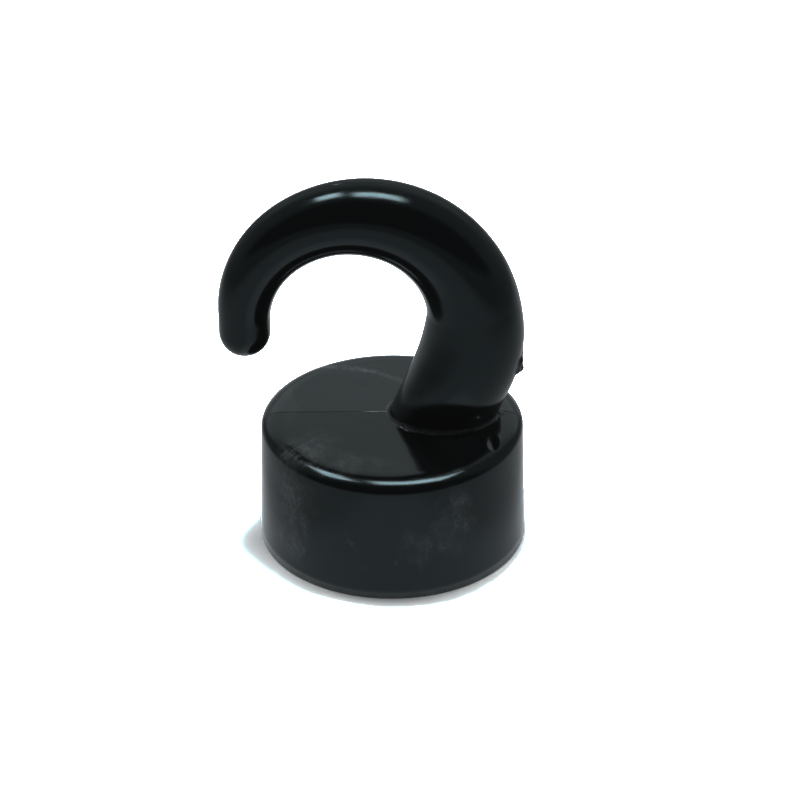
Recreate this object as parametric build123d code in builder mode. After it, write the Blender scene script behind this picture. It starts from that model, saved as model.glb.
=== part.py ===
from build123d import *
import math
import os

# Magnetic hook in a moulded plastic case. Millimetres, +Z up.
# The origin is the centre of the gripping face, and the hook curves in the XZ plane with its tip towards -X.
# The magnet points down. The case is sized from the pot magnet and the screw stack that it holds.

# Pot magnet
pot_diameter = 25.0
pot_wall = 1.5
pot_floor = 2.0
pot_corner_radius = 0.8
pot_hole_diameter = 4.5
magnet_thickness = 4.9
magnet_recess = 0.1
magnet_chamfer = 0.3
bond_width = 0.5
bond_meniscus = 0.3

# Grip pad
pad_thickness = 0.8
pad_inset = 0.2
pad_edge_radius = 0.2

# M4 pan head screw, washers and heat-set insert
thread_diameter = 4.0
screw_length = 8.0
screw_head_diameter = 8.0
screw_head_height = 3.1
screw_head_crown = 1.2
screw_point = 0.5
drive_width = 1.0
drive_span = 4.4
drive_depth = 1.8
washer_diameter = 9.0
washer_hole_diameter = 4.3
washer_thickness = 0.8
spring_washer_diameter = 7.6
spring_washer_hole_diameter = 4.1
spring_washer_thickness = 0.9
spring_washer_split = 0.6
insert_diameter = 5.6
insert_length = 5.0
insert_groove_width = 1.0
insert_groove_depth = 0.35
insert_chamfer = 0.3
knurl_count = 16
knurl_depth = 0.2

# Case
skirt_wall = 2.82
skirt_draft = 1.9
top_wall = 3.0
cavity_height = 4.4
top_edge_radius = 2.1
rim_height = 0.1
mouth_chamfer = 0.3
boss_diameter = 11.0
rib_count = 6
rib_thickness = 1.2

# Hook's centreline: three tangent arcs, from the neck over the crown to the nose, then a short straight tip.
# Angles are from +X towards +Z.
crown_center_x = -3.81
crown_center_rise = 11.98
neck_radius = 13.4
crown_radius = 13.17
nose_radius = 12.36
neck_angle = -15.2
shoulder_angle = 55.0
nose_angle = 125.0
tip_angle = 180.0
tip_straight = 1.83

# Hook's sections: an oval root, a slight waist in the stem, and a round bend that tapers to the tip
root_x = 5.83
root_length = 12.5
root_width = 9.8
root_fillet = 0.25
waist_rise = 4.8
waist_x = 7.75
waist_length = 11.9
waist_width = 10.6
neck_diameter = 11.2
tip_diameter = 5.78
taper_power = 0.82
section_count = 14

# Gate mark, the stub left where the moulding was broken from its runner
gate_angle = -14.5
gate_diameter = 2.4
gate_height = 0.3
gate_scar_depth = 0.25

# Clearances
pot_clearance = 0.15
washer_clearance = 0.25
thread_clearance = 0.05
pilot_clearance = 0.2

# Levels and diameters that follow
magnet_bottom = pad_thickness + magnet_recess
pot_inside = magnet_bottom + magnet_thickness
pot_top = pot_inside + pot_floor
cavity_top = pot_top + cavity_height
base_top = cavity_top + top_wall
washer_bottom = pot_inside - washer_thickness
spring_washer_bottom = washer_bottom - spring_washer_thickness
head_bottom = spring_washer_bottom - screw_head_height
screw_end = spring_washer_bottom + screw_length
pilot_top = max(pot_top + insert_length, screw_end) + pilot_clearance
recess_diameter = pot_diameter + 2 * pot_clearance
rim_diameter = recess_diameter + 2 * skirt_wall
magnet_bore = washer_diameter + 2 * washer_clearance
cup_diameter = pot_diameter - 2 * pot_wall
magnet_diameter = cup_diameter - 2 * bond_width
tapped_diameter = thread_diameter + 2 * thread_clearance
crown_center = (crown_center_x, base_top + crown_center_rise)


def around(center, radius, angle):
    """The point (x, z) at an angle, in degrees, on a circle in the hook's plane."""
    turn = math.radians(angle)
    return (center[0] + radius * math.cos(turn), center[1] + radius * math.sin(turn))


# The hook's centreline, from the neck over the crown to the start of the straight tip
neck_center = around(crown_center, crown_radius - neck_radius, shoulder_angle)
nose_center = around(crown_center, crown_radius - nose_radius, nose_angle)
with BuildLine(Plane.XZ) as bend:
    CenterArc(neck_center, neck_radius, neck_angle, shoulder_angle - neck_angle)
    CenterArc(crown_center, crown_radius, shoulder_angle, nose_angle - shoulder_angle)
    CenterArc(nose_center, nose_radius, nose_angle, tip_angle - nose_angle)
centerline = bend.wire()
tip_radius = tip_diameter / 2
tip_x, tip_top = around(nose_center, nose_radius, tip_angle)
tip_center = tip_top - tip_straight

with BuildPart() as hook_housing:
    # Cap with its cored-out underside
    with BuildSketch(Plane.XY.offset(rim_height)):
        Circle(rim_diameter / 2)
    extrude(amount=base_top - rim_height, taper=skirt_draft)
    fillet(hook_housing.edges().group_by(Axis.Z)[-1], top_edge_radius)
    with BuildSketch(Plane.XY.offset(rim_height)):
        Circle(recess_diameter / 2)
    extrude(amount=cavity_top - rim_height, mode=Mode.SUBTRACT)
    mouth = hook_housing.edges().group_by(Axis.Z)[0].sort_by(SortBy.RADIUS)[0]
    chamfer(mouth, mouth_chamfer)

    # Boss and ribs that the pot is pulled up against
    with BuildSketch(Plane.XY.offset(pot_top)):
        Circle(boss_diameter / 2)
        with PolarLocations(0, rib_count):
            Rectangle((recess_diameter + skirt_wall) / 2, rib_thickness, align=(Align.MIN, Align.CENTER))
    extrude(amount=cavity_height + top_wall / 2)
    with BuildSketch(Plane.XY.offset(pot_top)):
        Circle(insert_diameter / 2)
    extrude(amount=pilot_top - pot_top, mode=Mode.SUBTRACT)

    # Stem, from the oval root on the cap to the round neck
    with BuildSketch(Plane((root_x, 0, base_top), x_dir=(0, 1, 0), z_dir=(0, 0, 1))):
        Ellipse(root_width / 2, root_length / 2)
    with BuildSketch(Plane((waist_x, 0, base_top + waist_rise), x_dir=(0, 1, 0), z_dir=(0, 0, 1))):
        Ellipse(waist_width / 2, waist_length / 2)
    with BuildSketch(Plane(centerline @ 0, x_dir=(0, 1, 0), z_dir=centerline % 0)):
        Circle(neck_diameter / 2)
    loft()
    root_edges = hook_housing.edges().filter_by_position(Axis.Z, base_top, base_top)
    fillet(root_edges.sort_by(SortBy.LENGTH)[0], root_fillet)

    # Bend, which tapers towards the tip
    for station in range(section_count + 1):
        along = station / section_count
        taper = (1 - along) ** taper_power
        with BuildSketch(Plane(centerline @ along, x_dir=(0, 1, 0), z_dir=centerline % along)):
            Circle(tip_radius + (neck_diameter / 2 - tip_radius) * taper)
    loft()

    # Straight tip with a round end
    with BuildSketch(Plane.XZ):
        with BuildLine():
            CenterArc((tip_x, tip_center), tip_radius, 180, 90)
            Line((tip_x, tip_center - tip_radius), (tip_x, tip_top))
            Polyline((tip_x, tip_top), (tip_x - tip_radius, tip_top), (tip_x - tip_radius, tip_center))
        make_face()
    revolve(axis=Axis((tip_x, 0, 0), (0, 0, 1)))

    # Gate mark on the outside of the neck, with a hollow where the runner broke off
    gate_x, gate_z = around(neck_center, neck_radius, gate_angle)
    aim_x, aim_z = around((0, 0), 1, gate_angle)
    gate_plane = Plane((gate_x, 0, gate_z), x_dir=(0, 1, 0), z_dir=(aim_x, 0, aim_z))
    gate_reach = neck_diameter / 2 + gate_height
    with BuildSketch(gate_plane):
        Circle(gate_diameter / 2)
    extrude(amount=gate_reach)
    with Locations(gate_plane.offset(gate_reach)):
        sunk = (Align.CENTER, Align.CENTER, Align.MAX)
        Cone(gate_diameter / 8, gate_diameter / 3, gate_scar_depth, align=sunk, mode=Mode.SUBTRACT)
hook_housing.part.label = "hook_housing"

with BuildPart() as steel_pot:
    # Pressed cup, open downwards
    with BuildSketch(Plane.XY.offset(pad_thickness)):
        Circle(pot_diameter / 2)
    extrude(amount=pot_top - pad_thickness)
    fillet(steel_pot.edges().group_by(Axis.Z)[-1], pot_corner_radius)
    with BuildSketch(Plane.XY.offset(pad_thickness)):
        Circle(cup_diameter / 2)
    extrude(amount=pot_inside - pad_thickness, mode=Mode.SUBTRACT)
    with BuildSketch(Plane.XY.offset(pot_inside)):
        Circle(pot_hole_diameter / 2)
    extrude(amount=pot_floor, mode=Mode.SUBTRACT)
steel_pot.part.label = "steel_pot"

with BuildPart() as ring_magnet:
    with BuildSketch(Plane.XY.offset(magnet_bottom)):
        Circle(magnet_diameter / 2)
        Circle(magnet_bore / 2, mode=Mode.SUBTRACT)
    extrude(amount=magnet_thickness)
    chamfer(ring_magnet.edges().filter_by(GeomType.CIRCLE), magnet_chamfer)
ring_magnet.part.label = "ring_magnet"

with BuildPart() as magnet_bond:
    # Epoxy that fills the gap between the magnet and the cup up to just short of the rim
    with BuildSketch(Plane.XY.offset(magnet_bottom + bond_meniscus)):
        Circle(cup_diameter / 2)
        Circle(magnet_diameter / 2, mode=Mode.SUBTRACT)
    extrude(amount=magnet_thickness - bond_meniscus)
magnet_bond.part.label = "magnet_bond"

with BuildPart() as grip_pad:
    with BuildSketch():
        Circle(pot_diameter / 2 - pad_inset)
        Circle(magnet_bore / 2, mode=Mode.SUBTRACT)
    extrude(amount=pad_thickness)
    fillet(grip_pad.edges().group_by(Axis.Z)[0], pad_edge_radius)
grip_pad.part.label = "grip_pad"

with BuildPart() as flat_washer:
    with BuildSketch(Plane.XY.offset(washer_bottom)):
        Circle(washer_diameter / 2)
        Circle(washer_hole_diameter / 2, mode=Mode.SUBTRACT)
    extrude(amount=washer_thickness)
flat_washer.part.label = "flat_washer"

with BuildPart() as spring_washer:
    # Split ring, pressed flat by the screw
    with BuildSketch(Plane.XY.offset(spring_washer_bottom)):
        Circle(spring_washer_diameter / 2)
        Circle(spring_washer_hole_diameter / 2, mode=Mode.SUBTRACT)
        from_center = (Align.MAX, Align.CENTER)
        Rectangle(spring_washer_diameter, spring_washer_split, align=from_center, mode=Mode.SUBTRACT)
    extrude(amount=spring_washer_thickness)
spring_washer.part.label = "spring_washer"

with BuildPart() as retaining_screw:
    # Head at the bottom, shank upwards into the insert
    with BuildSketch(Plane.XY.offset(head_bottom)):
        Circle(screw_head_diameter / 2)
    extrude(amount=screw_head_height)
    fillet(retaining_screw.edges().group_by(Axis.Z)[0], screw_head_crown)
    with BuildSketch(Plane.XY.offset(spring_washer_bottom)):
        Circle(thread_diameter / 2)
    extrude(amount=screw_length)
    chamfer(retaining_screw.edges().group_by(Axis.Z)[-1], screw_point)
    with BuildSketch(Plane.XY.offset(head_bottom)):
        Rectangle(drive_span, drive_width)
        Rectangle(drive_width, drive_span)
    extrude(amount=drive_depth, taper=10, mode=Mode.SUBTRACT)
retaining_screw.part.label = "retaining_screw"

with BuildPart() as threaded_insert:
    # Knurled brass sleeve with a groove round its middle
    with BuildSketch(Plane.XY.offset(pot_top)):
        Circle(insert_diameter / 2)
        with PolarLocations(insert_diameter / 2, knurl_count):
            Rectangle(2 * knurl_depth, knurl_depth, mode=Mode.SUBTRACT)
    extrude(amount=insert_length)
    groove_bottom = pot_top + (insert_length - insert_groove_width) / 2
    with BuildSketch(Plane.XY.offset(groove_bottom)):
        Circle(insert_diameter / 2)
        Circle(insert_diameter / 2 - insert_groove_depth, mode=Mode.SUBTRACT)
    extrude(amount=insert_groove_width, mode=Mode.SUBTRACT)
    with BuildSketch(Plane.XY.offset(pot_top)):
        Circle(tapped_diameter / 2)
    extrude(amount=insert_length, mode=Mode.SUBTRACT)
    bottom_arcs = threaded_insert.edges().group_by(Axis.Z)[0].filter_by(GeomType.CIRCLE)
    chamfer(bottom_arcs.sort_by(SortBy.RADIUS)[0], insert_chamfer)
threaded_insert.part.label = "threaded_insert"

os.makedirs("parts", exist_ok=True)
export_step(hook_housing.part, "parts/hook_housing.step")
export_step(steel_pot.part, "parts/steel_pot.step")
export_step(ring_magnet.part, "parts/ring_magnet.step")
export_step(magnet_bond.part, "parts/magnet_bond.step")
export_step(grip_pad.part, "parts/grip_pad.step")
export_step(flat_washer.part, "parts/flat_washer.step")
export_step(spring_washer.part, "parts/spring_washer.step")
export_step(retaining_screw.part, "parts/retaining_screw.step")
export_step(threaded_insert.part, "parts/threaded_insert.step")
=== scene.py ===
import math
import bpy
import numpy as np
from mathutils import Matrix, Vector


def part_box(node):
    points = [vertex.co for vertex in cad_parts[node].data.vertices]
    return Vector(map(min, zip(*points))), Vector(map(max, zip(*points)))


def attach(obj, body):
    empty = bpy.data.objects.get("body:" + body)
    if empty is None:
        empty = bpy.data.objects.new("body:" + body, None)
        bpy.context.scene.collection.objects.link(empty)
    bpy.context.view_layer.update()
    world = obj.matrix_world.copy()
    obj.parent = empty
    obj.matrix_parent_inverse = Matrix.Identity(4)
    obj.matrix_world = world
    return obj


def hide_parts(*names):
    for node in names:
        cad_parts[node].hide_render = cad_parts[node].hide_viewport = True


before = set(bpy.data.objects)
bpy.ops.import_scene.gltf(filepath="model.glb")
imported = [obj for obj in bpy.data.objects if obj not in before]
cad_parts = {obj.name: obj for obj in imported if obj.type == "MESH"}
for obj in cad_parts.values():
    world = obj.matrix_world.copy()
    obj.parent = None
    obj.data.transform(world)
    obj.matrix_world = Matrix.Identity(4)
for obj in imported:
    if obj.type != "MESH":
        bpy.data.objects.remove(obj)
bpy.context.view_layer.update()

# A magnetic hook: a black moulded case with a hook on top, over a pot magnet, its pad, screw, washers and
# insert. The hook curves in the XZ plane with its tip towards -X. Shapes are worked out in millimetres and
# made in metres.
MM = 0.001
SEED = 11

# Places taken from the frame, in millimetres
case_low, case_high = (np.array(corner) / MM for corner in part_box("hook_housing"))
pot_high = np.array(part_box("steel_pot")[1]) / MM
insert_high = np.array(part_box("threaded_insert")[1]) / MM

# Cap
RIM_RADIUS = case_high[1]
RIM_HEIGHT = case_low[2]
POT_TOP = pot_high[2]
POT_CLEARANCE = 0.15
RECESS_RADIUS = pot_high[0] + POT_CLEARANCE
MOUTH_CHAMFER = 0.3
CAVITY_HEIGHT = 4.4
TOP_WALL = 3.0
CAP_TOP = POT_TOP + CAVITY_HEIGHT + TOP_WALL
SHOULDER_RADIUS = 14.98
EDGE_REACH = 2.8
EDGE_DROP = 1.5
ROOF_RISE = 0.15
BACK_FALL = 0.02
FRONT_FALL = 0.048
BOSS_RADIUS = 5.5
PILOT_RADIUS = insert_high[0]
PILOT_TOP = insert_high[2] + 1.0
PILOT_CENTER_GAP = 0.2
RIM_BREAK = 0.04
CORNER = 0.05
RIB_COUNT = 6
RIB_THICKNESS = 1.2
RIB_SINK = 0.5
RIB_FACES = 6

# Hook's bend: three tangent arcs round the crown, then a straight tip. Angles are from +X towards +Z.
CROWN_CENTER = np.array((-3.81, CAP_TOP + 11.98))
CROWN_RADIUS = 13.05
NECK_ARC_RADIUS = 13.32
NOSE_ARC_RADIUS = 12.26
JOIN_ANGLE = 9.0
SHOULDER_ANGLE = 55.0
NOSE_ANGLE = 125.0
TIP_ANGLE = 180.0
TIP_STRAIGHT = 1.83
NECK_RADIUS = 5.25
TIP_RADIUS = 2.86
TIP_POLE_DROP = 0.004
TAPER_POWER = 0.85
TAPER_EASE = 0.04

# Stem: its inner and outer edges in the XZ plane are Bezier curves from the bend down to the root
INNER_ROOT = (-0.42, CAP_TOP)
INNER_HANDLES = ((3.35, 23.0), (1.55, 19.9))
OUTER_ROOT = (12.1, CAP_TOP)
OUTER_HANDLES = ((16.05, 22.6), (13.35, 19.6))
ROOT_HALF_WIDTH = 4.8
WIDTH_HANDLES = (6.1, 6.8)
ROOT_FILLET = 0.32
RAGGED_LIMITS = (0.4, 2.6)

# Rings of the mesh. A stretch of the stem is its start and end, as shares of the way from the bend to the
# cap, and its number of rings, which are closest together at the gate mark.
TIP_END_RINGS = 22
TIP_STRAIGHT_RINGS = 6
BEND_RINGS = 84
STEM_STRETCHES = ((0.012, 0.2, 14), (0.21, 0.58, 52), (0.6, 0.985, 26))
FILLET_RINGS = 9
TOP_RINGS = 45
EDGE_RINGS = 19
SIDE_RINGS = 14
COLUMNS = 320
COLUMN_CROWDING = 0.78

# Marks of the mould
SEAM_HALF_WIDTH = 0.09
SEAM_HEIGHT = 0.035
SEAM_STEP = 0.03
SEAM_FIRST_RING = 4
GATE_CENTER = np.array((14.45, -0.4, 22.1))
GATE_RADIUS = 1.7
GATE_FACE_X = 14.78
GATE_MAX_REACH = 0.6
GATE_SOFT_EDGE = 0.7
GATE_PUSH = (0.97, -0.2, 0.12)
# Bumps and hollows of the stub: place across and up from its centre, size and height
GATE_BUMPS = (
    (0.2, 1.15, 0.50, 0.13), (0.0, -0.85, 0.55, 0.08), (-0.9, 0.5, 0.45, 0.08), (-1.1, -0.2, 0.60, -0.20),
    (-0.3, 0.15, 0.40, -0.16),
)
# Flaws in the cap's top: centre, radius and depth. They are narrower across the hook's plane than along it.
PITS = (((11.3, -6.5), 0.78, 0.24), ((-3.16, 5.75), 0.2, 0.06), ((-10.4, 2.86), 0.16, 0.05))
PIT_SQUEEZE = (1.6, 0.72)
PIT_LIP = 0.22


def around(center, radius, angle):
    """The point (x, z) at an angle, in degrees, on a circle in the hook's plane."""
    turn = np.radians(angle)
    return np.stack((center[0] + radius * np.cos(turn), center[1] + radius * np.sin(turn)), -1)


def bezier(start, handles, end, t):
    """Points of a cubic Bezier curve."""
    p = [np.array(q, float) for q in (start, *handles, end)]
    t = t[:, None]
    return (1 - t) ** 3 * p[0] + 3 * (1 - t) ** 2 * t * p[1] + 3 * (1 - t) * t**2 * p[2] + t**3 * p[3]


def smooth(value):
    """A smooth step from 0 to 1."""
    value = np.clip(value, 0, 1)
    return value * value * (3 - 2 * value)


def waves(points, wavelength, seed):
    """Smooth random unevenness between about -1 and 1 at points in space."""
    draw = np.random.default_rng(SEED + seed)
    total = np.zeros(points.shape[:-1])
    for _ in range(6):
        direction = draw.normal(size=3)
        direction *= 2 * math.pi / wavelength * draw.uniform(0.6, 1.3) / np.linalg.norm(direction)
        total += np.sin(points @ direction + draw.uniform(0, 2 * math.pi))
    return total / 3


def column_angles():
    """Angles round a section, crowded towards the mould's parting plane at 0 and 180 degrees."""
    even = np.arange(COLUMNS) * 2 * math.pi / COLUMNS
    return even - COLUMN_CROWDING / 2 * np.sin(2 * even)


ANGLES = column_angles()


def bend_edges(angles):
    """Inner and outer edge and half width of the bend at angles from the tip down to the stem."""
    neck_center = around(CROWN_CENTER, CROWN_RADIUS - NECK_ARC_RADIUS, SHOULDER_ANGLE)
    nose_center = around(CROWN_CENTER, CROWN_RADIUS - NOSE_ARC_RADIUS, NOSE_ANGLE)
    inner, outer, half = [], [], []
    for angle in angles:
        center, radius = CROWN_CENTER, CROWN_RADIUS
        if angle < SHOULDER_ANGLE:
            center, radius = neck_center, NECK_ARC_RADIUS
        if angle > NOSE_ANGLE:
            center, radius = nose_center, NOSE_ARC_RADIUS
        along = (angle - JOIN_ANGLE) / (TIP_ANGLE - JOIN_ANGLE)
        left = (1 - along) ** 2 / (1 - along + TAPER_EASE) * (1 + TAPER_EASE)
        section = TIP_RADIUS + (NECK_RADIUS - TIP_RADIUS) * left ** TAPER_POWER
        inner.append(around(center, radius - section, angle))
        outer.append(around(center, radius + section, angle))
        half.append(section)
    return np.array(inner), np.array(outer), np.array(half)


def section_rings(inner, outer, half):
    """Oval rings from the inner and outer points of each section and its half width along Y."""
    middle, reach = (inner + outer) / 2, (outer - inner) / 2
    c, s = np.cos(ANGLES), np.sin(ANGLES)
    rings = np.empty((len(middle), COLUMNS, 3))
    rings[:, :, 0] = middle[:, :1] + reach[:, :1] * c
    rings[:, :, 1] = half[:, None] * s
    rings[:, :, 2] = middle[:, 1:] + reach[:, 1:] * c
    return rings


def roof(y):
    """Height of the cap's top, which falls a little from the parting line to the front and the back."""
    fall = BACK_FALL * np.maximum(y, 0) - FRONT_FALL * np.minimum(y, 0)
    dip = SEAM_STEP * smooth(-y / SEAM_HALF_WIDTH) * np.exp(np.minimum(y, 0) / 1.6)
    return CAP_TOP + ROOF_RISE - fall - dip


def tip_rings():
    """The round end of the tip and its straight stretch, from the pole up."""
    inner, outer, half = bend_edges([TIP_ANGLE])
    middle, reach = (inner[0] + outer[0]) / 2, (outer[0] - inner[0]) / 2
    polar = np.radians(np.linspace(3, 90, TIP_END_RINGS))
    scale = np.concatenate((np.sin(polar), np.ones(TIP_STRAIGHT_RINGS)))
    straight = np.linspace(TIP_STRAIGHT, 0, TIP_STRAIGHT_RINGS + 2)[1:-1]
    drop = np.concatenate((TIP_STRAIGHT + half[0] * np.cos(polar), straight))
    center = middle - np.outer(drop, (0, 1))
    return section_rings(center - np.outer(scale, reach), center + np.outer(scale, reach), half[0] * scale)


def stem_rings():
    """The stem from the bend to just above the cap."""
    inner, outer, half = bend_edges([JOIN_ANGLE])
    t = np.concatenate([np.linspace(*stretch) for stretch in STEM_STRETCHES])
    inner_edge = bezier(inner[0], INNER_HANDLES, INNER_ROOT, t)
    outer_edge = bezier(outer[0], OUTER_HANDLES, OUTER_ROOT, t)
    start, end = (half[0], 0), (ROOT_HALF_WIDTH, 0)
    width = bezier(start, [(w, 0) for w in WIDTH_HANDLES], end, t)[:, 0]
    return section_rings(inner_edge, outer_edge, width)


def root_outline():
    """Plan of the stem where it meets the cap."""
    middle, reach = (INNER_ROOT[0] + OUTER_ROOT[0]) / 2, (OUTER_ROOT[0] - INNER_ROOT[0]) / 2
    return np.stack((middle + reach * np.cos(ANGLES), ROOT_HALF_WIDTH * np.sin(ANGLES)), -1)


def outward(outline):
    """Unit vectors pointing out of a closed outline."""
    ahead = np.roll(outline, -1, 0) - np.roll(outline, 1, 0)
    normal = np.stack((ahead[:, 1], -ahead[:, 0]), -1)
    return normal / np.linalg.norm(normal, axis=1)[:, None]


def root_rings():
    """The small fillet round the stem's foot, left a little ragged by the mould's shut-off."""
    outline = root_outline()
    out = outward(outline)
    base = np.column_stack((outline, np.zeros(COLUMNS)))
    ragged = 1 + 0.28 * waves(base, 2.2, 1) + 0.18 * waves(base, 0.7, 2)
    left_flash = np.exp(-((outline[:, 0] - 1.9) / 0.35) ** 2) * (outline[:, 1] < 0)
    right_flash = np.exp(-((outline[:, 1] + 0.1) / 0.9) ** 2) * (outline[:, 0] > 6)
    left_flash = 0.9 * left_flash * (0.6 + 0.5 * waves(base, 0.5, 3))
    right_flash = 1.1 * right_flash * (0.6 + 0.6 * waves(base, 0.6, 4))
    ragged += left_flash + right_flash
    fillet = ROOT_FILLET * np.clip(ragged, *RAGGED_LIMITS)
    rings = []
    for turn in np.radians(np.linspace(0, 90, FILLET_RINGS)):
        plan = outline + out * (fillet * (1 - math.cos(turn)))[:, None]
        height = roof(plan[:, 1]) + fillet * (1 - math.sin(turn))
        rings.append(np.column_stack((plan, height)))
    return np.array(rings)


def top_rings(last):
    """The cap's top from the foot of the stem to its rounded edge, then the flared side down to the rim."""
    start, edge = last[:, :2], SHOULDER_RADIUS - EDGE_REACH
    circle = np.stack((np.cos(ANGLES), np.sin(ANGLES)), -1)
    rings = []
    for part in np.linspace(0, 1, TOP_RINGS)[1:]:
        plan = start + (circle * edge - start) * part
        rings.append(np.column_stack((plan, roof(plan[:, 1]))))
    crest = roof(circle[:, 1] * edge)
    for turn in np.radians(np.linspace(0, 90, EDGE_RINGS)[1:]):
        plan = circle * (edge + EDGE_REACH * math.sin(turn))
        rings.append(np.column_stack((plan, crest - EDGE_DROP * (1 - math.cos(turn)))))
    shoulder = crest - EDGE_DROP
    for part in np.linspace(0, 1, SIDE_RINGS)[1:]:
        radius = SHOULDER_RADIUS + (RIM_RADIUS - SHOULDER_RADIUS) * part
        rings.append(np.column_stack((circle * radius, shoulder + (RIM_HEIGHT - shoulder) * part)))
    return np.array(rings)


def under_rings():
    """The rim, the recess for the pot, the cavity's ceiling, the boss and its blind hole."""
    mouth = RECESS_RADIUS + MOUTH_CHAMFER
    ceiling = POT_TOP + CAVITY_HEIGHT
    profile = [
        (RIM_RADIUS - RIM_BREAK, RIM_HEIGHT),
        (mouth + RIM_BREAK, RIM_HEIGHT),
        (mouth, RIM_HEIGHT + RIM_BREAK / 2),
        (RECESS_RADIUS, RIM_HEIGHT + MOUTH_CHAMFER),
        (RECESS_RADIUS, POT_TOP),
        (RECESS_RADIUS, ceiling - CORNER),
        (RECESS_RADIUS - CORNER, ceiling),
        (BOSS_RADIUS + CORNER, ceiling),
        (BOSS_RADIUS, ceiling - CORNER),
        (BOSS_RADIUS, POT_TOP + CORNER),
        (BOSS_RADIUS - CORNER, POT_TOP),
        (PILOT_RADIUS + CORNER, POT_TOP),
        (PILOT_RADIUS, POT_TOP + CORNER),
        (PILOT_RADIUS, PILOT_TOP - CORNER),
        (PILOT_RADIUS - CORNER, PILOT_TOP),
        (PILOT_CENTER_GAP, PILOT_TOP),
    ]
    rings = [
        np.column_stack((radius * np.cos(ANGLES), radius * np.sin(ANGLES), np.full(COLUMNS, height)))
        for radius, height in profile
    ]
    return np.array(rings)


def grid_normals(grid):
    """Unit normals of a grid of rings, pointing out of the material."""
    along = np.gradient(grid, axis=0)
    across = np.roll(grid, -1, 1) - np.roll(grid, 1, 1)
    normal = np.cross(along, across)
    return normal / np.maximum(np.linalg.norm(normal, axis=2, keepdims=True), 1e-12)


def add_seam(grid, normals, first, last):
    """A fine raised parting line on rings first to last."""
    part = grid[first:last]
    line = np.clip(1 - np.abs(part[:, :, 1]) / SEAM_HALF_WIDTH, 0, 1)
    uneven = 0.7 + 0.3 * waves(part, 4.0, 5)
    grid[first:last] += normals[first:last] * (SEAM_HEIGHT * line * uneven)[:, :, None]


def add_gate(grid):
    """The torn stub of the gate on the outside of the neck: two rough bumps over and under a hollow scar."""
    offset = grid - GATE_CENTER
    near = (np.abs(offset[:, :, 0]) < 2.2) & (grid[:, :, 0] > 12)
    distance = np.hypot(offset[:, :, 1] * 0.9, offset[:, :, 2]) * (1 + 0.08 * waves(grid, 1.4, 6))
    stub = smooth((GATE_RADIUS - distance) / GATE_SOFT_EDGE) * near
    face = np.clip(GATE_FACE_X - grid[:, :, 0], 0, GATE_MAX_REACH)
    rough = 0.05 * waves(grid, 0.8, 7) + 0.03 * waves(grid, 0.4, 8)
    push = stub * (face + rough)
    for across, up, size, height in GATE_BUMPS:
        gap = np.hypot(offset[:, :, 1] - across, offset[:, :, 2] - up) / size
        push = push + near * height * np.exp(-(gap**2))
    grid += np.array(GATE_PUSH) * push[:, :, None]


def add_pits(grid):
    """The flaws in the cap's top, each with a low raised lip."""
    top = (grid[:, :, 2] > CAP_TOP - 0.6) & (grid[:, :, 2] < CAP_TOP + 0.6)
    for center, radius, depth in PITS:
        across = (grid[:, :, 0] - center[0]) * PIT_SQUEEZE[0]
        gap = np.hypot(across, (grid[:, :, 1] - center[1]) * PIT_SQUEEZE[1]) / radius
        shape = -depth * np.exp(-(gap**2)) + PIT_LIP * depth * np.exp(-(((gap - 1.5) / 0.4) ** 2))
        grid[:, :, 2] += shape * top


def case_grid():
    """All rings of the case, from the hook's tip to the bottom of the blind hole under the boss."""
    bend = section_rings(*bend_edges(np.linspace(TIP_ANGLE, JOIN_ANGLE, BEND_RINGS)))
    root = root_rings()
    top = top_rings(root[-1])
    outside = np.concatenate((tip_rings(), bend, stem_rings(), root, top))
    normals = grid_normals(outside)
    uneven = 0.012 * waves(outside, 11.0, 9) + 0.004 * waves(outside, 3.0, 10)
    outside = outside + normals * uneven[:, :, None]
    add_seam(outside, normals, SEAM_FIRST_RING, len(outside) - len(top) - FILLET_RINGS + 1)
    add_gate(outside)
    add_pits(outside)
    return np.concatenate((outside, under_rings()))


def ribs(grid_size):
    """The ribs between boss and wall, as closed boxes sunk a little into both."""
    vertices, faces = [], []
    inner, outer = BOSS_RADIUS - RIB_SINK, RECESS_RADIUS + RIB_SINK
    for index in range(RIB_COUNT):
        turn = 2 * math.pi * index / RIB_COUNT
        along = np.array((math.cos(turn), math.sin(turn)))
        side = np.array((-along[1], along[0])) * RIB_THICKNESS / 2
        start = grid_size + len(vertices)
        for height in (POT_TOP, POT_TOP + CAVITY_HEIGHT + TOP_WALL / 3):
            for reach, sign in ((inner, -1), (outer, -1), (outer, 1), (inner, 1)):
                vertices.append((*(along * reach + side * sign), height))
        faces += [tuple(start + k for k in f) for f in ((3, 2, 1, 0), (4, 5, 6, 7))]
        faces += [(start + k, start + (k + 1) % 4, start + 4 + (k + 1) % 4, start + 4 + k) for k in range(4)]
    return vertices, faces


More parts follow.
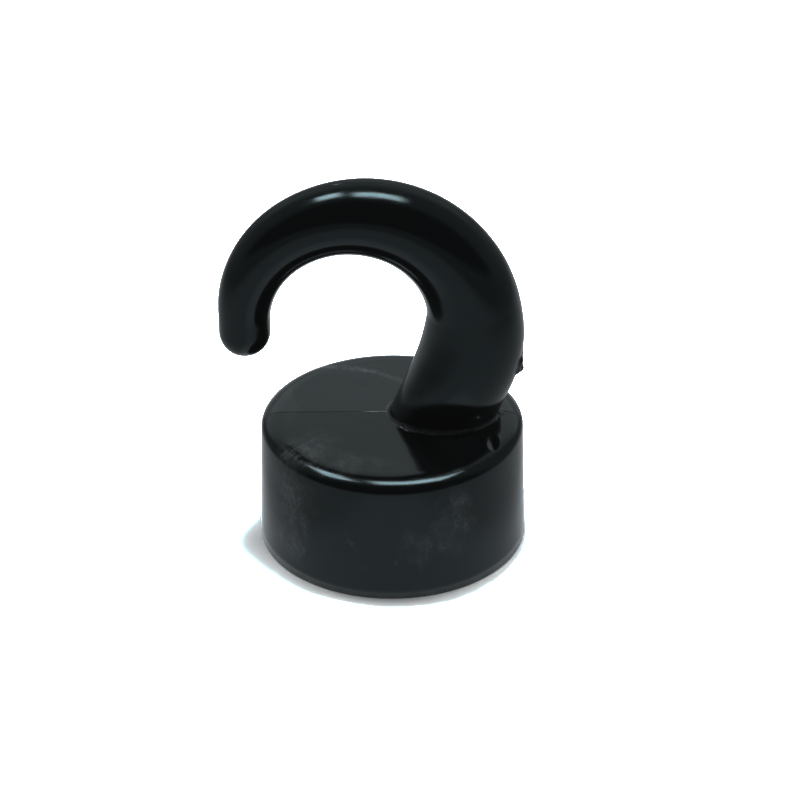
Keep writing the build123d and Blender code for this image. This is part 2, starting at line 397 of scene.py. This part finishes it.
def make_case():
    """One continuous skin for cap, stem and hook."""
    grid = case_grid()
    rings = len(grid)
    vertices = [tuple(p) for p in grid.reshape(-1, 3)]
    faces = []
    for ring in range(rings - 1):
        low = ring * COLUMNS
        for column in range(COLUMNS):
            after = (column + 1) % COLUMNS
            faces.append((low + column, low + COLUMNS + column, low + COLUMNS + after, low + after))
    tip_pole = len(vertices)
    vertices.append(tuple(grid[0].mean(0) - (0, 0, TIP_POLE_DROP)))
    faces += [((column + 1) % COLUMNS, tip_pole, column) for column in range(COLUMNS)]
    hole_pole = len(vertices)
    vertices.append(tuple(grid[-1].mean(0)))
    last = (rings - 1) * COLUMNS
    faces += [(last + column, hole_pole, last + (column + 1) % COLUMNS) for column in range(COLUMNS)]
    rib_vertices, rib_faces = ribs(len(vertices))
    mesh = bpy.data.meshes.new("case")
    mesh.from_pydata([tuple(c * MM for c in v) for v in vertices + rib_vertices], [], faces + rib_faces)
    flat = RIB_FACES * RIB_COUNT
    mesh.polygons.foreach_set("use_smooth", [True] * (len(mesh.polygons) - flat) + [False] * flat)
    mesh.update()
    case = bpy.data.objects.new("case", mesh)
    bpy.context.scene.collection.objects.link(case)
    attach(case, "root")
    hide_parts("hook_housing")
    return case


case = make_case()


def shader(name):
    """A new node material: its node tree, its Principled shader and the object coordinates in metres."""
    material = bpy.data.materials.new(name)
    material.use_nodes = True
    tree = material.node_tree
    coordinates = tree.nodes.new("ShaderNodeTexCoord").outputs["Object"]
    return material, tree, tree.nodes["Principled BSDF"], coordinates


def put(tree, socket, value):
    """Links an output to a socket, or sets the socket to a plain value."""
    if isinstance(value, bpy.types.NodeSocket):
        tree.links.new(value, socket)
    else:
        socket.default_value = value


def math_node(tree, operation, *values, clamp=False):
    """The output of one Math node."""
    made = tree.nodes.new("ShaderNodeMath")
    made.operation = operation
    made.use_clamp = clamp
    for socket, value in zip(made.inputs, values):
        put(tree, socket, value)
    return made.outputs[0]


def vector_node(tree, operation, *values, output="Vector"):
    """The output of one Vector Math node."""
    made = tree.nodes.new("ShaderNodeVectorMath")
    made.operation = operation
    for socket, value in zip(made.inputs, values):
        put(tree, socket, value)
    return made.outputs[output]


def noise(tree, coordinates, grain, detail=3.0, roughness=0.55, stretch=(1, 1, 1), turn=(0, 0, 0)):
    """Noise between about 0 and 1 whose features are about grain millimetres across."""
    mapping = tree.nodes.new("ShaderNodeMapping")
    mapping.inputs["Scale"].default_value = stretch
    mapping.inputs["Rotation"].default_value = [math.radians(angle) for angle in turn]
    put(tree, mapping.inputs["Vector"], coordinates)
    made = tree.nodes.new("ShaderNodeTexNoise")
    made.inputs["Scale"].default_value = 1 / (grain * MM)
    made.inputs["Detail"].default_value = detail
    made.inputs["Roughness"].default_value = roughness
    put(tree, made.inputs["Vector"], mapping.outputs["Vector"])
    return made.outputs["Fac"]


def ramp(tree, value, low, high, out_low=0.0, out_high=1.0):
    """Maps value from the range low..high to out_low..out_high with a smooth step."""
    made = tree.nodes.new("ShaderNodeMapRange")
    made.interpolation_type = "SMOOTHSTEP"
    for key, number in (("From Min", low), ("From Max", high), ("To Min", out_low), ("To Max", out_high)):
        made.inputs[key].default_value = number
    put(tree, made.inputs["Value"], value)
    return made.outputs["Result"]


def tint(tree, factor, low, high):
    """Mixes two colours by a factor."""
    made = tree.nodes.new("ShaderNodeMix")
    made.data_type = "RGBA"
    put(tree, made.inputs["Factor"], factor)
    put(tree, made.inputs["A"], low if isinstance(low, bpy.types.NodeSocket) else (*low, 1))
    put(tree, made.inputs["B"], (*high, 1))
    return made.outputs["Result"]


def bump(tree, height, depth, normal=None):
    """A bump of a height in millimetres."""
    made = tree.nodes.new("ShaderNodeBump")
    made.inputs["Distance"].default_value = depth * MM
    put(tree, made.inputs["Height"], height)
    if normal is not None:
        put(tree, made.inputs["Normal"], normal)
    return made.outputs["Normal"]


def warp(tree, coordinates, grain, reach):
    """Coordinates pushed about by up to reach millimetres, for ragged outlines."""
    made = tree.nodes.new("ShaderNodeTexNoise")
    made.inputs["Scale"].default_value = 1 / (grain * MM)
    made.inputs["Detail"].default_value = 3
    put(tree, made.inputs["Vector"], coordinates)
    centered = vector_node(tree, "SUBTRACT", made.outputs["Color"], (0.5, 0.5, 0.5))
    pushed = vector_node(tree, "MULTIPLY", centered, [4 * reach * MM] * 3)
    return vector_node(tree, "ADD", coordinates, pushed)


def oval_line(tree, coordinates, center, reach, half_width):
    """1 on an oval line in plan and 0 beside it. Its half width is a share of its reach."""
    offset = vector_node(tree, "SUBTRACT", coordinates, [c * MM for c in center])
    scaled = vector_node(tree, "DIVIDE", offset, [r * MM for r in reach])
    gap = math_node(tree, "SUBTRACT", vector_node(tree, "LENGTH", scaled, output="Value"), 1.0)
    return ramp(tree, math_node(tree, "ABSOLUTE", gap), half_width, half_width * 0.3)


def patch(tree, coordinates, center, reach, soft):
    """1 inside an oval patch of the surface and 0 outside it. Centre and reach are in millimetres."""
    offset = vector_node(tree, "SUBTRACT", coordinates, [c * MM for c in center])
    scaled = vector_node(tree, "DIVIDE", offset, [r * MM for r in reach])
    gap = vector_node(tree, "LENGTH", scaled, output="Value")
    return ramp(tree, gap, 1.0, 1.0 - soft)


# Patches of dust on the cap, and one by the gate mark: centre and reach in millimetres, and strength
SMUDGES = (
    ((-9.4, -7.6, CAP_TOP), (5.0, 4.0, 2.0), 1.0),
    ((-4.0, -10.4, CAP_TOP), (6.0, 2.6, 2.0), 0.7),
    ((-12.4, 2.0, CAP_TOP), (2.2, 8.5, 2.0), 0.45),
    ((-4.6, 10.4, CAP_TOP), (7.0, 2.6, 2.0), 0.15),
    ((-11.4, -9.6, 8.6), (4.4, 4.0, 7.4), 1.0),
    ((6.8, -13.6, 9.2), (3.4, 3.2, 5.6), 0.75),
    ((3.4, -14.6, 6.6), (3.0, 2.6, 3.4), 0.6),
    ((-11.0, -10.5, 3.4), (2.6, 2.5, 2.4), 1.0),
    ((-5.2, -14.3, 6.6), (0.6, 1.0, 1.3), 0.9),
    ((-3.3, -14.9, 4.2), (0.6, 1.0, 0.9), 0.8),
    ((0.8, -15.2, 4.0), (0.8, 1.0, 0.8), 1.0),
    ((13.6, -2.2, 21.2), (1.6, 1.6, 1.5), 0.7),
)
SMEAR_CENTER = (-8.6, -3.0, CAP_TOP)
SMEAR_RADIUS = 13.9
ANY_HEIGHT = 1e4
PLASTIC_COLORS = ((0.0016, 0.0021, 0.0024), (0.0022, 0.0027, 0.0030))
PLASTIC_SPECULAR_TINT = (0.71, 0.94, 1.0, 1)
# Dust colour and cover, also used for the painted highlight round the stem's foot
DUST_AND_SHEEN_COLOR = (0.62, 0.66, 0.68)
DUST_AND_SHEEN_COVER = 0.14
GRIT_COLOR = (0.7, 0.72, 0.74)
GRIT_COVER = 0.3
# Middle and reach of the painted highlight line round the stem's foot
ROOT_MIDDLE = ((INNER_ROOT[0] + OUTER_ROOT[0]) / 2, 0.0, CAP_TOP)
ROOT_LINE_REACH = ((OUTER_ROOT[0] - INNER_ROOT[0]) / 2 + 0.16, ROOT_HALF_WIDTH + 0.16, ANY_HEIGHT)


def smudge_level(tree, place, back, on_top):
    """How much dust there may be: the oval patches, and the arc of a finger smear behind the hook."""
    ragged = warp(tree, place, 2.6, 1.5)
    smudge = 0.0
    for center, reach, strength in SMUDGES:
        spot = patch(tree, ragged, center, reach, 0.7)
        smudge = math_node(tree, "MULTIPLY_ADD", spot, strength, smudge)
    smear_reach = (SMEAR_RADIUS, SMEAR_RADIUS, ANY_HEIGHT)
    smear = oval_line(tree, warp(tree, place, 5.0, 0.3), SMEAR_CENTER, smear_reach, 0.05)
    behind = ramp(tree, back, 2.0 * MM, 4.0 * MM)
    smear = math_node(tree, "MULTIPLY", math_node(tree, "MULTIPLY", smear, on_top), behind)
    return math_node(tree, "MULTIPLY_ADD", smear, 0.9, smudge)


def root_line_painted_highlight(tree, place, up, above, mottle):
    """A painted highlight: a lighter line of dust colour round the stem's foot, in place of the small
    fillet's reflection.
    """
    line = oval_line(tree, place, ROOT_MIDDLE, ROOT_LINE_REACH, 0.05)
    low = ramp(tree, up, (CAP_TOP + 0.7) * MM, (CAP_TOP + 0.4) * MM)
    line = math_node(tree, "MULTIPLY", math_node(tree, "MULTIPLY", line, low), above)
    return math_node(tree, "MULTIPLY", line, ramp(tree, mottle, 0.3, 0.6, 0.25, 0.8))


def dust_breakup(tree, place, cloud, speckle):
    """Breaks the dust up into streaks and specks, and leaves a thin even film between them."""
    streak = noise(tree, place, 1.0, detail=5, roughness=0.72, stretch=(1, 1, 0.65), turn=(0, 18, 0))
    patchy = ramp(tree, cloud, 0.35, 0.6, 0.35, 1.0)
    blotch = math_node(tree, "MULTIPLY", ramp(tree, streak, 0.38, 0.66), patchy)
    breakup = math_node(tree, "MULTIPLY", blotch, ramp(tree, speckle, 0.3, 0.62, 0.45, 1.0))
    return math_node(tree, "MULTIPLY_ADD", breakup, 0.80, 0.20)


def case_plastic():
    """Black gloss plastic, a little uneven, with fine scratches, whitish dust on the cap, and a painted
    highlight round the stem's foot.

    Only the cap's flat top has a clear coat, which makes its reflection brighter than the rest of the case.
    """
    material, tree, surface, place = shader("case_plastic")
    cloud = noise(tree, place, 6.0)
    mottle = noise(tree, place, 1.7, detail=4)
    speckle = noise(tree, place, 0.3, detail=2)
    fine = noise(tree, place, 0.09, detail=2)
    axes = tree.nodes.new("ShaderNodeSeparateXYZ")
    put(tree, axes.inputs[0], place)
    up = axes.outputs["Z"]
    above = ramp(tree, up, (CAP_TOP - 0.70) * MM, (CAP_TOP - 0.52) * MM)
    below = ramp(tree, up, (CAP_TOP + 0.45) * MM, (CAP_TOP + 0.25) * MM)
    on_top = math_node(tree, "MULTIPLY", above, below)

    smudge = smudge_level(tree, place, axes.outputs["Y"], on_top)
    breakup = dust_breakup(tree, place, cloud, speckle)
    # The dust level also carries a painted highlight along the line round the stem's foot, which lightens the
    # colour there and raises roughness and bump.
    dust_and_sheen = math_node(tree, "MULTIPLY_ADD", smudge, breakup, root_line_painted_highlight(tree, place, up, above, mottle))
    dust_and_sheen = math_node(tree, "MINIMUM", dust_and_sheen, 1.0)
    grit = ramp(tree, speckle, 0.70, 0.78)

    black = tint(tree, cloud, *PLASTIC_COLORS)
    lightened = tint(tree, math_node(tree, "MULTIPLY", dust_and_sheen, DUST_AND_SHEEN_COVER), black, DUST_AND_SHEEN_COLOR)
    grains = math_node(tree, "MULTIPLY", math_node(tree, "MULTIPLY", grit, smudge), GRIT_COVER)
    lightened = tint(tree, grains, lightened, GRIT_COLOR)
    put(tree, surface.inputs["Base Color"], lightened)

    worn = ramp(tree, mottle, 0.3, 0.75, 0.10, 0.17)
    rough = math_node(tree, "MULTIPLY_ADD", dust_and_sheen, 0.30, worn)
    put(tree, surface.inputs["Roughness"], rough)
    surface.inputs["IOR"].default_value = 1.5
    surface.inputs["Specular Tint"].default_value = PLASTIC_SPECULAR_TINT
    put(tree, surface.inputs["Coat Weight"], on_top)
    surface.inputs["Coat Roughness"].default_value = 0.06

    scratches = noise(tree, place, 0.5, detail=1, stretch=(0.12, 3.0, 1.0), turn=(0, 0, 28))
    hairline = ramp(tree, scratches, 0.66, 0.72)
    level = math_node(tree, "MULTIPLY_ADD", hairline, -0.35, fine)
    level = math_node(tree, "MULTIPLY_ADD", dust_and_sheen, 1.2, level)
    put(tree, surface.inputs["Normal"], bump(tree, level, 0.0035))
    return material


def metal(name, color, dark, roughness, grain, brushed=(1, 1, 1)):
    """Plated or bare metal with a worn, slightly uneven finish."""
    material, tree, surface, place = shader(name)
    cloud = noise(tree, place, grain * 6)
    lines = noise(tree, place, grain, detail=4, stretch=brushed)
    stain = ramp(tree, cloud, 0.30, 0.72)
    put(tree, surface.inputs["Base Color"], tint(tree, stain, color, dark))
    put(tree, surface.inputs["Roughness"], ramp(tree, lines, 0.25, 0.75, roughness * 0.75, roughness * 1.35))
    surface.inputs["Metallic"].default_value = 1.0
    put(tree, surface.inputs["Normal"], bump(tree, lines, 0.004))
    return material


def epoxy():
    """Dark potting resin with a slightly lumpy surface."""
    material, tree, surface, place = shader("epoxy")
    lumps = noise(tree, place, 0.7, detail=4)
    put(tree, surface.inputs["Base Color"], tint(tree, lumps, (0.012, 0.011, 0.010), (0.035, 0.030, 0.024)))
    put(tree, surface.inputs["Roughness"], ramp(tree, lumps, 0.3, 0.7, 0.35, 0.6))
    put(tree, surface.inputs["Normal"], bump(tree, lumps, 0.03))
    return material


def pad_rubber():
    """Matt rubber with a fine leathery grain and a little grey dust."""
    material, tree, surface, place = shader("pad_rubber")
    cells = tree.nodes.new("ShaderNodeTexVoronoi")
    cells.feature = "DISTANCE_TO_EDGE"
    cells.inputs["Scale"].default_value = 1 / (0.45 * MM)
    put(tree, cells.inputs["Vector"], place)
    grain = ramp(tree, cells.outputs["Distance"], 0.0, 0.22)
    cloud = noise(tree, place, 3.0, detail=4)
    lightened = math_node(tree, "MULTIPLY", ramp(tree, cloud, 0.45, 0.75), 0.5)
    put(tree, surface.inputs["Base Color"], tint(tree, lightened, (0.020, 0.021, 0.022), (0.085, 0.085, 0.083)))
    put(tree, surface.inputs["Roughness"], ramp(tree, cloud, 0.2, 0.8, 0.62, 0.82))
    put(tree, surface.inputs["Normal"], bump(tree, grain, 0.02))
    return material


def finish_nodes():
    """Gives the case and each CAD node that stays its material."""
    worn_steel = ((0.62, 0.63, 0.64), (0.42, 0.43, 0.45))
    bright_nickel = ((0.66, 0.64, 0.60), (0.50, 0.49, 0.46))
    dull_steel = ((0.60, 0.60, 0.58), (0.40, 0.40, 0.38))
    black_steel = ((0.30, 0.30, 0.31), (0.16, 0.16, 0.17))
    zinc_steel = ((0.62, 0.63, 0.64), (0.36, 0.37, 0.38))
    brass = ((0.80, 0.58, 0.24), (0.55, 0.38, 0.14))
    finishes = {
        "steel_pot": metal("plated_steel", *worn_steel, 0.30, 0.25, brushed=(1, 1, 6)),
        "ring_magnet": metal("nickel", *bright_nickel, 0.20, 0.5),
        "magnet_bond": epoxy(),
        "grip_pad": pad_rubber(),
        "flat_washer": metal("washer_steel", *dull_steel, 0.34, 0.2, brushed=(6, 1, 1)),
        "spring_washer": metal("spring_steel", *black_steel, 0.38, 0.2, brushed=(1, 6, 1)),
        "retaining_screw": metal("screw_steel", *zinc_steel, 0.26, 0.2),
        "threaded_insert": metal("insert_brass", *brass, 0.28, 0.2),
    }
    for node, material in finishes.items():
        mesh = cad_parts[node].data
        mesh.materials.clear()
        mesh.materials.append(material)
    case.data.materials.append(case_plastic())


finish_nodes()

# Camera at the viewing angle, with a long lens
VIEW_ELEVATION = 30.546
VIEW_DISTANCE = 0.320
VIEW_ACROSS = 0.000905
VIEW_UP = 0.014478
VIEW_ROLL = -0.324
SENSOR_WIDTH = 36.0
LENS = 122.6


def make_camera():
    """A camera that looks along +Y and down at the hook."""
    elevation = math.radians(VIEW_ELEVATION)
    ahead = Vector((0, math.cos(elevation), -math.sin(elevation)))
    above = Vector((0, math.sin(elevation), math.cos(elevation)))
    data = bpy.data.cameras.new("camera")
    data.sensor_width = SENSOR_WIDTH
    data.lens = LENS
    data.clip_start = 0.01
    data.clip_end = 20
    camera = bpy.data.objects.new("camera", data)
    place = -VIEW_DISTANCE * ahead + VIEW_ACROSS * Vector((1, 0, 0)) + VIEW_UP * above
    tilt = Matrix.Rotation(math.pi / 2 - elevation, 4, "X")
    roll = Matrix.Rotation(math.radians(VIEW_ROLL), 4, "Z")
    camera.matrix_world = Matrix.Translation(place) @ tilt @ roll
    bpy.context.scene.collection.objects.link(camera)
    bpy.context.scene.camera = camera


make_camera()

# Studio: a pale floor, two soft boxes overhead, a wide fill over them, grey surroundings, and a dark room
# behind the camera. Lengths are in metres. The gloss shows the ground at the GLOW levels, from near to far.
FLOOR_SIZE = 6.0
FLOOR_LEVEL = -0.00003
FLOOR_COLOR = (0.86, 0.86, 0.86)
GLOW_SQUEEZE = (1.0, 0.45, 1.0)
GLOW_BASE = 0.55
GLOW_MIDDLE = 0.36
GLOW_OUTER = 0.15
GLOW_NEAR = (0.017, 0.026)
GLOW_FAR = (0.055, 0.17)
GLOW_COLOR = (0.96, 1.0, 1.03, 1)
ROOM_SIDES = 0.17
ROOM_BACK = 0.285
ROOM_BEHIND_CAMERA = 0.022
ROOM_COLOR = (0.89, 1.0, 1.03, 1)
BOX_DISTANCE = 1.6
# Direction from the object, length, width and radiance
SOFT_BOXES = (((-0.345, 0.20, 0.92), 0.38, 0.46, 6.5), ((0.13, 0.12, 0.98), 0.80, 0.46, 6.5))
FILL_PLACE = (0.0, 0.35, 2.2)
FILL_SIZE = 2.6
FILL_RADIANCE = 0.6
FILM_WHITE = 0.34
FILM_FOG = 0.0024
FILM_TOE = 0.12
FILM_SHOULDER = (0.25, 0.34)


def add_plane(name, size):
    """A level square on the ground that is part of the studio."""
    mesh = bpy.data.meshes.new(name)
    half = size / 2
    corners = [(x, y, FLOOR_LEVEL) for x, y in ((-half, -half), (half, -half), (half, half), (-half, half))]
    mesh.from_pydata(corners, [], [(0, 1, 2, 3)])
    plane = bpy.data.objects.new(name, mesh)
    bpy.context.scene.collection.objects.link(plane)
    return plane


def make_floor():
    """A large pale floor with a barely uneven finish. The object's gloss shows reflected_floor instead."""
    floor = add_plane("floor", FLOOR_SIZE)
    material, tree, surface, place = shader("floor_paper")
    cloud = noise(tree, place, 40.0)
    put(tree, surface.inputs["Base Color"], tint(tree, cloud, FLOOR_COLOR, [c * 1.02 for c in FLOOR_COLOR]))
    surface.inputs["Roughness"].default_value = 0.9
    surface.inputs["Specular IOR Level"].default_value = 0.1
    floor.data.materials.append(material)
    floor.visible_glossy = False


def make_reflected_floor():
    """What the gloss shows of the ground: bright close to the object and in front, dimmer further out."""
    glow = add_plane("reflected_floor", FLOOR_SIZE)
    material = bpy.data.materials.new("reflected_floor")
    material.use_nodes = True
    tree = material.node_tree
    place = tree.nodes.new("ShaderNodeTexCoord").outputs["Object"]
    squeezed = vector_node(tree, "MULTIPLY", place, GLOW_SQUEEZE)
    gap = vector_node(tree, "LENGTH", squeezed, output="Value")
    near = ramp(tree, gap, *GLOW_NEAR, GLOW_BASE, GLOW_MIDDLE)
    level = math_node(tree, "SUBTRACT", near, ramp(tree, gap, *GLOW_FAR, 0.0, GLOW_MIDDLE - GLOW_OUTER))
    emission = tree.nodes.new("ShaderNodeEmission")
    emission.inputs["Color"].default_value = GLOW_COLOR
    put(tree, emission.inputs["Strength"], level)
    put(tree, tree.nodes["Material Output"].inputs["Surface"], emission.outputs[0])
    glow.data.materials.append(material)
    glow.visible_camera = False
    glow.visible_diffuse = False
    glow.visible_shadow = False
    glow.visible_transmission = False


def make_surroundings():
    """Grey surroundings, a little lighter behind the object, and dark above and behind the camera."""
    world = bpy.data.worlds.new("studio")
    bpy.context.scene.world = world
    world.use_nodes = True
    tree = world.node_tree
    direction = tree.nodes.new("ShaderNodeTexCoord").outputs["Generated"]
    axes = tree.nodes.new("ShaderNodeSeparateXYZ")
    put(tree, axes.inputs[0], direction)
    toward_camera = ramp(tree, axes.outputs["Y"], 0.05, -0.35)
    above_horizon = ramp(tree, axes.outputs["Z"], 0.02, 0.2)
    shade = math_node(tree, "MULTIPLY", toward_camera, above_horizon)
    back = ramp(tree, axes.outputs["Y"], 0.5, 0.75)
    back = math_node(tree, "MULTIPLY", back, ramp(tree, axes.outputs["Z"], 0.20, 0.32))
    level = ramp(tree, back, 0.0, 1.0, ROOM_SIDES, ROOM_BACK)
    darken = ramp(tree, shade, 0.0, 1.0, 1.0, ROOM_BEHIND_CAMERA / ROOM_SIDES)
    level = math_node(tree, "MULTIPLY", level, darken)
    background = tree.nodes["Background"]
    put(tree, background.inputs["Strength"], level)
    background.inputs["Color"].default_value = ROOM_COLOR


def add_light(name, place, length, width, radiance):
    """A rectangular light that faces the object and shines evenly with a radiance."""
    data = bpy.data.lights.new(name, "AREA")
    data.shape = "RECTANGLE"
    data.size = length
    data.size_y = width
    data.energy = radiance * math.pi * length * width
    light = bpy.data.objects.new(name, data)
    toward = Vector(place).normalized()
    side = (Vector((1, 0, 0)) - toward * toward.x).normalized()
    turn = Matrix((side, toward.cross(side), toward)).transposed().to_4x4()
    light.matrix_world = Matrix.Translation(place) @ turn
    bpy.context.scene.collection.objects.link(light)
    return light


def make_lights():
    """The two rectangular soft boxes over the object, and a wide fill that doesn't show in the gloss."""
    for index, (direction, length, width, radiance) in enumerate(SOFT_BOXES):
        add_light(f"soft_box_{index}", Vector(direction).normalized() * BOX_DISTANCE, length, width, radiance)
    fill = add_light("fill", FILL_PLACE, FILL_SIZE, FILL_SIZE, FILL_RADIANCE)
    fill.visible_glossy = False


def set_film():
    """A contrasty film response: the pale floor comes out white, and black is lifted a little by glare."""
    view = bpy.context.scene.view_settings
    view.view_transform = "Standard"
    view.look = "None"
    view.use_curve_mapping = True
    curve = view.curve_mapping.curves[3]
    curve.points[0].location = (0.0, FILM_FOG)
    curve.points[1].location = (FILM_WHITE, 1.0)
    curve.points.new(FILM_TOE, FILM_TOE + FILM_FOG)
    curve.points.new(*FILM_SHOULDER)
    view.curve_mapping.update()


make_floor()
make_reflected_floor()
make_surroundings()
make_lights()
set_film()
